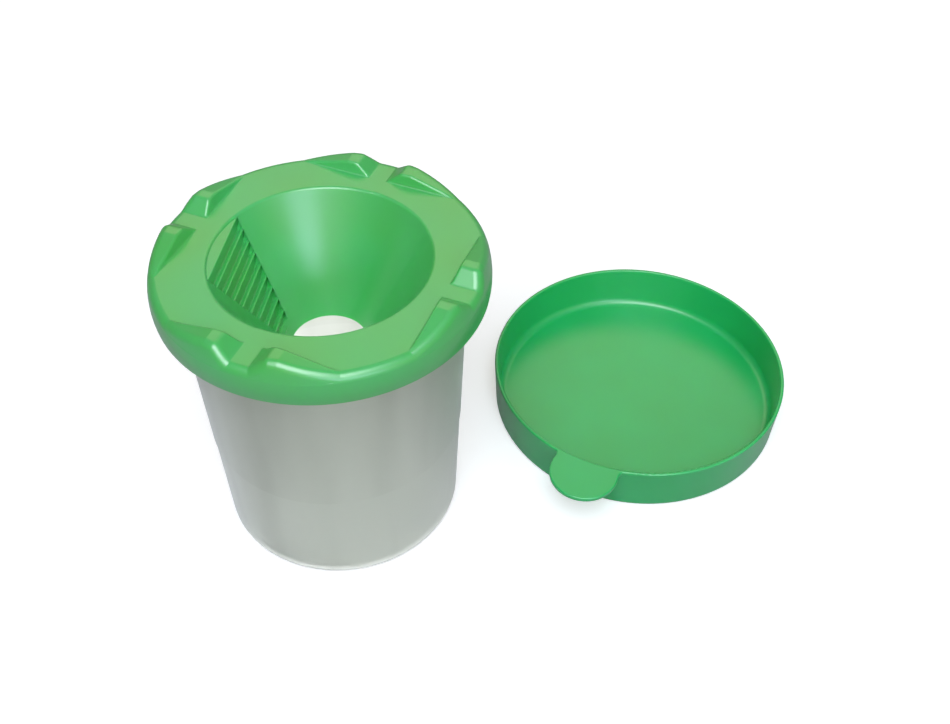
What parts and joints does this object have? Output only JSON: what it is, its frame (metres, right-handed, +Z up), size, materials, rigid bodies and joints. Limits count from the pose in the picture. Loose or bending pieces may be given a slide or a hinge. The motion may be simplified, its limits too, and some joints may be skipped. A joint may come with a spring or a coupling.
{
  "type": "brush washer with lid",
  "caption": "Frosted tapered water pot under a push-on funnel ring with wiping steps and notched brush rests round its rim; a shallow round cap with a finger tab lies open side up beside it.",
  "frame": {"origin": "centre of the pot's flat base, on the table", "axes": "+Z up the pot's axis; +X from the pot's axis to the centre of the cap lying beside it"},
  "size_m": [0.2098, 0.1024, 0.1037],
  "materials": {
    "frosted_pot": "natural polypropylene, translucent, finely frosted",
    "green_top": "moulded polypropylene, satin",
    "green_cap": "moulded polypropylene, satin"
  },
  "bodies": {
    "pot": {"pot": "frosted_pot"},
    "funnel_top": {"funnel_top": "green_top"},
    "cap": {"cap": "green_cap"}
  },
  "joints": [
    {"name": "funnel_top_lift", "type": "slide", "parent": "pot", "child": "funnel_top", "axis": [0, 0, 1], "range_m": [0, 0.07]},
    {"name": "cap_lift", "type": "slide", "parent": "pot", "child": "cap", "axis": [0, 0, 1], "range_m": [0, 0.12]}
  ]
}
